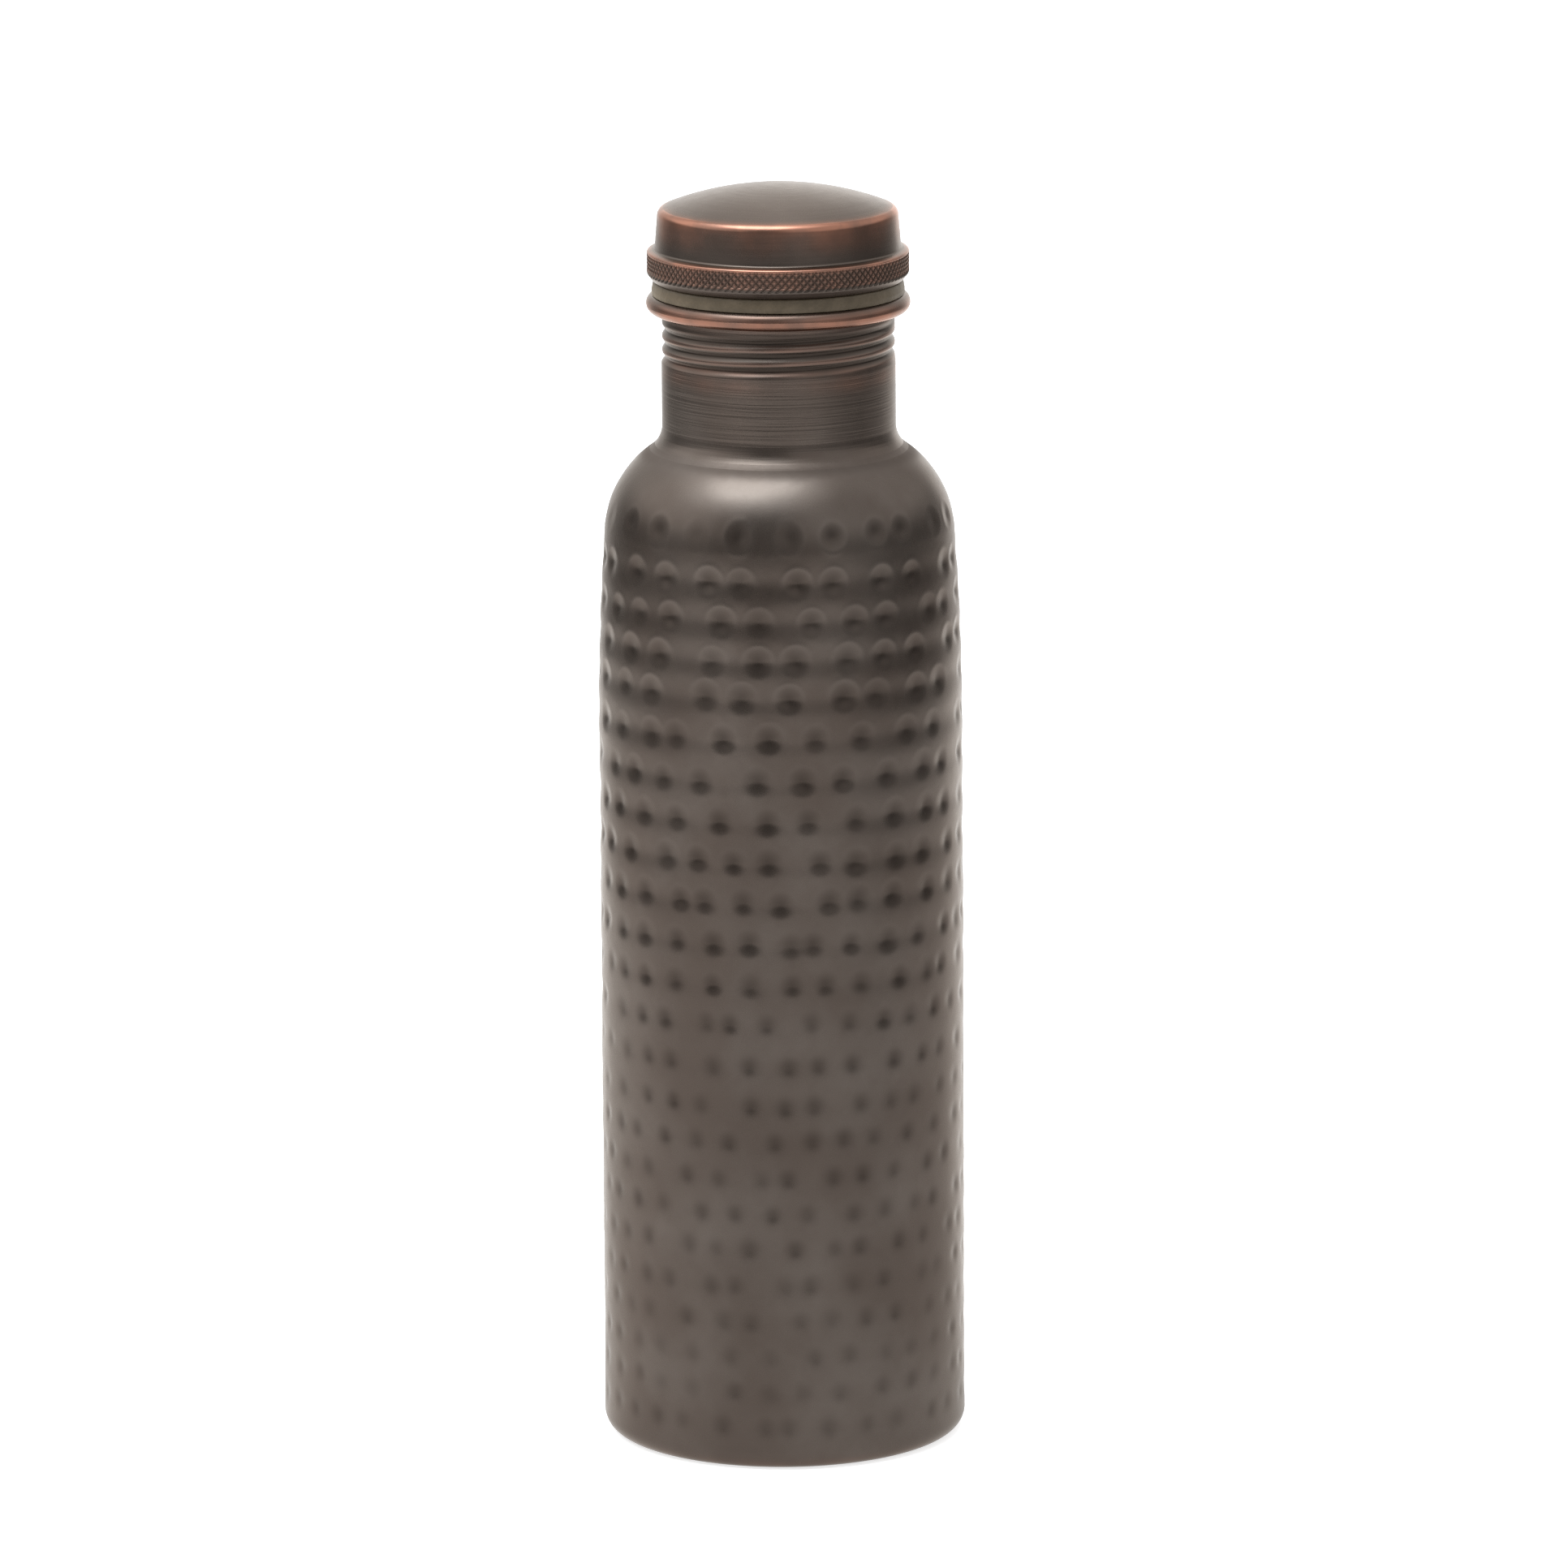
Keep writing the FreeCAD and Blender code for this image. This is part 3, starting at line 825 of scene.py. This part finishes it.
def antique(name, rough, lines, line_bump, copper_patches, grain, shade_and_grime_share):
    """Oxidised copper: a dark skin, worn to copper where the mesh says, bare metal inside.

    lines is how fine the turned rings are and line_bump their depth, copper_patches how far the
    rubbed band shows copper, grain how rough the skin feels, and the last one how far the marked
    hollows and creases are darkened, which is painted shade with some soiling.
    """
    material, tree, shader = new_material(name)
    here = position(tree)
    cloud = noise(tree, here, scale=38, detail=4)
    mottle = noise(tree, here, scale=420, detail=3)
    rings = noise(tree, ring_lines(tree, lines), scale=30, detail=3)
    skin = blend(tree, ramp(tree, cloud, (0.35, 0), (0.68, 1)), DARK, LIGHT)
    skin = blend(tree, times(tree, mottle, 0.25), skin, DARK)
    skin = blend(tree, ramp(tree, rings, (0.35, 0.35), (0.7, 0)), skin, DARK)
    # Painted shade: the marked hollows, grooves and creases are darkened, with some soiling.
    skin = blend(tree, times(tree, mark(tree, "deep"), shade_and_grime_share), skin, SHADE_AND_GRIME)
    skin = blend(tree, times(tree, mark(tree, "polish"), 0.2), skin, POLISHED)

    tall_cloud = noise(tree, position(tree, (1, 1, 0.25)), scale=45, detail=2)
    patches = ramp(tree, tall_cloud, (0.35, 0.15), (0.68, 1))
    patches = times(tree, patches, times(tree, mark(tree, "band"), copper_patches))
    worn = calc(tree, "ADD", mark(tree, "worn"), patches)
    uneven_wear = ramp(tree, noise(tree, here, scale=150, detail=4), (0.3, 0.55), (0.7, 1.15))
    show = node(tree, "ShaderNodeClamp", {0: times(tree, worn, uneven_wear)}).outputs[0]
    colour = blend(tree, show, skin, COPPER)

    tarnish = noise(tree, here, scale=90, detail=5)
    inside = blend(tree, ramp(tree, tarnish, (0.35, 0), (0.75, 0.55)), BARE, COPPER)
    colour = blend(tree, mark(tree, "bare"), colour, inside)

    roughness = calc(tree, "ADD", times(tree, mottle, 0.10), rough - 0.05)
    roughness = calc(tree, "SUBTRACT", roughness, times(tree, show, 0.06))
    roughness = calc(tree, "ADD", roughness, times(tree, mark(tree, "matt"), 0.3))
    fine_grain = times(tree, noise(tree, here, scale=900, detail=3), grain)
    height = calc(tree, "ADD", times(tree, rings, line_bump), fine_grain)
    bump = node(tree, "ShaderNodeBump", {"Height": height, "Strength": 1.0, "Distance": 0.0001})
    wire(tree, shader, Base_Color=colour, Metallic=1.0, Roughness=roughness,
         Specular_Tint=(0.96, 0.925, 0.885, 1), Normal=bump.outputs[0])
    return material


def bare_copper(name):
    """Copper that never had the dark finish: a little tarnish, and turning lines."""
    material, tree, shader = new_material(name)
    tarnish = noise(tree, position(tree), scale=75, detail=5)
    rings = noise(tree, ring_lines(tree, fine=40), scale=60, detail=3, rough=0.6)
    colour = blend(tree, ramp(tree, tarnish, (0.35, 0), (0.75, 0.7)), BARE, TARNISHED)
    # Painted shade: darker in the marked groove, with some soiling.
    colour = blend(tree, times(tree, mark(tree, "deep"), 0.4), colour, SHADE_AND_GRIME)
    roughness = calc(tree, "ADD", times(tree, tarnish, 0.25), 0.2)
    bump = node(tree, "ShaderNodeBump", {"Height": rings, "Strength": 0.5, "Distance": 0.0001})
    wire(tree, shader, Base_Color=colour, Metallic=1.0, Roughness=roughness, Normal=bump.outputs[0])
    return material


def braze(name, tone):
    """Brazing alloy: dull, with small pits."""
    material, tree, shader = new_material(name)
    pits = noise(tree, position(tree), scale=700, detail=4, rough=0.7)
    pitted = tuple(0.45 * c for c in tone)
    colour = blend(tree, ramp(tree, pits, (0.35, 0), (0.7, 1)), pitted + (1,), tone + (1,))
    bump = node(tree, "ShaderNodeBump", {"Height": pits, "Strength": 0.8, "Distance": 0.0002})
    wire(tree, shader, Base_Color=colour, Metallic=1.0, Roughness=0.42, Normal=bump.outputs[0])
    return material


def silicone():
    """Matte olive-grey rubber, a little dusty."""
    material, tree, shader = new_material("olive_silicone")
    dust = noise(tree, position(tree), scale=260, detail=5, rough=0.65)
    colour = blend(tree, ramp(tree, dust, (0.35, 0), (0.75, 1)), RUBBER, DUSTY_RUBBER)
    grain = noise(tree, position(tree), scale=1500, detail=3)
    bump = node(tree, "ShaderNodeBump", {"Height": grain, "Strength": 0.5, "Distance": 0.00015})
    wire(tree, shader, Base_Color=colour, Roughness=0.45, Sheen_Weight=0.3,
         Sheen_Tint=(0.9, 0.74, 0.52, 1), Normal=bump.outputs[0])
    return material


# ======================= studio =======================

BRIGHTEST = 5.0             # top of the scale that the tables of brightness are drawn on

# How bright the studio looks from the bottle, as (compass angle, brightness) pairs. The angle is
# 0 in front of the bottle and positive to the right.
BY_FLOOR_FAR = (
    (-180, 1.6), (-150, 0.62), (-136, 0.30), (-110, 0.36), (-85, 0.54), (-60, 0.98), (-36, 1.42),
    (-12, 1.15), (14, 1.16), (38, 0.98), (52, 0.6), (66, 0.33), (88, 0.21), (105, 0.37),
    (118, 0.44), (132, 0.68), (150, 0.98), (180, 1.6),
)
BY_FLOOR_NEAR = (
    (-180, 1.6), (-150, 1.4), (-130, 1.15), (-105, 1.2), (-60, 0.98), (-20, 0.84), (60, 0.78),
    (90, 0.86), (115, 0.94), (130, 1.22), (150, 1.5), (180, 1.6),
)
BY_HORIZON = (
    (-180, 1.5), (-150, 0.8), (-136, 0.38), (-120, 0.24), (-95, 0.36), (-60, 0.36), (-25, 0.25),
    (5, 0.26), (20, 0.40), (34, 0.32), (64, 0.28), (85, 0.22), (110, 0.22), (124, 0.27),
    (138, 0.45), (152, 1.3), (180, 1.6),
)
BY_UPPER = (
    (-180, 1.3), (-150, 0.8), (-110, 1.25), (-70, 1.1), (-40, 0.66), (-22, 0.26), (-4, 0.30),
    (22, 0.7), (70, 0.7), (110, 0.82), (150, 0.7), (180, 1.3),
)
FLOOR_REACH = 6.0           # metres from the bottle to the floor's edge
FAR_FROM = (0.64, 1.04)     # metres over which the floor's near table gives way to the far one
HORIZON_FROM = (1.44, 1.76)     # and the far one to the horizon's
UPPER_FROM = (5, 24)        # degrees of height over which the horizon gives way to the upper table
WINDOW_AT = (-56, 75.7)     # compass angle and height of the window, in degrees
WINDOW_EDGE = ((42, 0), (27, 0.2), (12, 1))     # degrees off its middle, and share of its light
WINDOW = (4.35, 4.65, 4.85)
BACKDROP = (0.4, 0.4, 0.4, 1)
OVERHEAD_AT = (-55, 70)
OVERHEAD_AWAY = 1.6
OVERHEAD_SIZE = 0.7
OVERHEAD_WATTS = 12
OVERHEAD_AIM_Z = 0.13

# ---- camera, in metres and degrees ----
LENS_MM = 253.05
SENSOR_MM = 36
CAMERA_AT = (0.00058, -2.25, 0.63094)
LOOKS_DOWN = 12.35
ROLLED = -0.355


def compass(tree, where):
    """0 behind the bottle, through 0.5 in front, round to 1 behind again, from a direction."""
    parts = node(tree, "ShaderNodeSeparateXYZ", {0: where})
    ahead = times(tree, parts.outputs[1], -1.0)
    turn = calc(tree, "DIVIDE", calc(tree, "ARCTAN2", parts.outputs[0], ahead), 2 * math.pi)
    return calc(tree, "ADD", turn, 0.5)


def by_angle(tree, turn, table):
    """A table's brightness, as a share of the brightest, at a compass turn of 0 to 1."""
    return ramp(tree, turn, *[(angle / 360 + 0.5, bright / BRIGHTEST) for angle, bright in table])


def beyond(tree, away, start, end):
    """0 up to start metres away and 1 from end on."""
    span = 2.0
    return ramp(tree, calc(tree, "DIVIDE", away, span), (start / span, 0), (end / span, 1))


def floor():
    """Pale floor: white paper seen directly, the studio's light and dark in reflections.

    From below it is clear, so that it doesn't hide the bottle's underside.
    """
    corners = [(-1, -1), (1, -1), (1, 1), (-1, 1)]
    mesh = bpy.data.meshes.new("floor")
    mesh.from_pydata([(x * FLOOR_REACH, y * FLOOR_REACH, 0) for x, y in corners], [], [(0, 1, 2, 3)])
    piece = bpy.data.objects.new("floor", mesh)
    bpy.context.scene.collection.objects.link(piece)

    material, tree, shader = new_material("floor_paper")
    wire(tree, shader, Base_Color=(0.8, 0.8, 0.8, 1), Roughness=0.9, Emission_Color=(1, 1, 1, 1),
         Emission_Strength=0.7)
    where = node(tree, "ShaderNodeTexCoord").outputs["Object"]
    away = node(tree, "ShaderNodeVectorMath", {0: where}, operation="LENGTH").outputs["Value"]
    turn = compass(tree, where)
    near_light = by_angle(tree, turn, BY_FLOOR_NEAR)
    far_light = by_angle(tree, turn, BY_FLOOR_FAR)
    glow = blend(tree, beyond(tree, away, *FAR_FROM), near_light, far_light)
    glow = blend(tree, beyond(tree, away, *HORIZON_FROM), glow, by_angle(tree, turn, BY_HORIZON))
    seen_in_metal = node(tree, "ShaderNodeEmission", {0: glow, 1: BRIGHTEST}).outputs[0]
    direct = node(tree, "ShaderNodeLightPath").outputs["Is Camera Ray"]
    top = node(tree, "ShaderNodeMixShader", {0: direct, 1: seen_in_metal, 2: shader.outputs[0]}).outputs[0]
    clear = node(tree, "ShaderNodeBsdfTransparent").outputs[0]
    below = node(tree, "ShaderNodeNewGeometry").outputs["Backfacing"]
    both = node(tree, "ShaderNodeMixShader", {0: below, 1: top, 2: clear}).outputs[0]
    tree.links.new(both, tree.nodes["Material Output"].inputs[0])
    piece.data.materials.append(material)


def direction(azimuth, elevation):
    """A unit vector out from the bottle, in degrees: azimuth 0 is in front, positive to the right."""
    a = math.radians(azimuth)
    e = math.radians(elevation)
    return math.sin(a) * math.cos(e), -math.cos(a) * math.cos(e), math.sin(e)


def world():
    """Soft studio round the bottle, bright behind it, with one window of light above the shoulder."""
    made = bpy.data.worlds.new("studio")
    bpy.context.scene.world = made
    made.use_nodes = True
    tree = made.node_tree
    tree.nodes.clear()
    where = node(tree, "ShaderNodeTexCoord").outputs["Generated"]
    turn = compass(tree, where)
    rise = node(tree, "ShaderNodeSeparateXYZ", {0: where}).outputs[2]
    start, end = (math.sin(math.radians(degrees)) for degrees in UPPER_FROM)
    lift = ramp(tree, rise, (start, 0), (end, 1))
    light = blend(tree, lift, by_angle(tree, turn, BY_HORIZON), by_angle(tree, turn, BY_UPPER))

    aim = direction(*WINDOW_AT)
    facing = node(tree, "ShaderNodeVectorMath", {0: where, 1: aim}, operation="DOT_PRODUCT")
    edge = [(math.cos(math.radians(degrees)), share) for degrees, share in WINDOW_EDGE]
    window = tuple(tone / BRIGHTEST for tone in WINDOW) + (1,)
    light = blend(tree, ramp(tree, facing.outputs["Value"], *edge), light, window)

    direct = node(tree, "ShaderNodeLightPath").outputs["Is Camera Ray"]
    light = blend(tree, direct, light, BACKDROP)
    shader = node(tree, "ShaderNodeBackground", {0: light, 1: BRIGHTEST})
    node(tree, "ShaderNodeOutputWorld", {0: shader.outputs[0]})


def overhead():
    """A square soft light high on the left, aimed at the middle of the bottle."""
    light = bpy.data.lights.new("overhead", "AREA")
    light.size = OVERHEAD_SIZE
    light.energy = OVERHEAD_WATTS
    lamp = bpy.data.objects.new("overhead", light)
    place = Vector(direction(*OVERHEAD_AT)) * OVERHEAD_AWAY
    lamp.location = place + Vector((0, 0, OVERHEAD_AIM_Z))
    lamp.rotation_euler = (-place).to_track_quat("-Z", "Y").to_euler()
    lamp.visible_glossy = False
    bpy.context.scene.collection.objects.link(lamp)


def camera():
    """A long lens looking down a little, as a catalogue shot is taken."""
    data = bpy.data.cameras.new("camera")
    data.sensor_width = SENSOR_MM
    data.lens = LENS_MM
    eye = bpy.data.objects.new("camera", data)
    tilt = Matrix.Rotation(math.radians(90 - LOOKS_DOWN), 4, "X")
    roll = Matrix.Rotation(math.radians(ROLLED), 4, "Z")
    eye.matrix_world = Matrix.Translation(CAMERA_AT) @ tilt @ roll
    bpy.context.scene.collection.objects.link(eye)
    bpy.context.scene.camera = eye


# ======================= the bottle in its studio =======================

def dress(piece, material):
    """Gives a piece its one material."""
    piece.data.materials.clear()
    piece.data.materials.append(material)


bare_look = bare_copper("bare_copper")

dress(body_shell(), antique("hammered_antique_copper", rough=0.27, lines=2.0, line_bump=0.0,
                            copper_patches=0.0, grain=0.06, shade_and_grime_share=0.5))
dress(neck(), antique("turned_antique_copper", rough=0.28, lines=60.0, line_bump=0.75,
                      copper_patches=0.5, grain=0.05, shade_and_grime_share=0.92))
dress(neck_braze_ring(), antique("dressed_braze", rough=0.42, lines=60.0, line_bump=0.6,
                                 copper_patches=0.0, grain=0.15, shade_and_grime_share=0.92))
dress(cap_shell(), antique("polished_antique_copper", rough=0.28, lines=36.0, line_bump=0.3,
                           copper_patches=0.75, grain=0.04, shade_and_grime_share=0.85))
dress(gasket(), silicone())
dress(plug_sleeve(), bare_look)
dress(disc("plug_disc", "cap", "plug_end", PLUG_BORE_R, PLUG_END_Z, PLUG_DISH), bare_look)
dress(corner_ring("plug_braze", "cap", "plug_braze_ring", PLUG_BORE_R, PLUG_END_Z),
      braze("bright_braze", (0.6, 0.45, 0.3)))
dress(disc("base_disc", "bottle", "base_plate", BASE_DISC_R, SHEET, BASE_DISH),
      antique("base_antique_copper", rough=0.36, lines=40.0, line_bump=0.6,
              copper_patches=0.1, grain=0.3, shade_and_grime_share=0.3))
dress(corner_ring("base_braze", "bottle", "base_braze_ring", FLANGE_R, SHEET),
      braze("base_braze", (0.3, 0.23, 0.17)))

floor()
world()
overhead()
camera()
bpy.context.scene.view_settings.view_transform = "Standard"
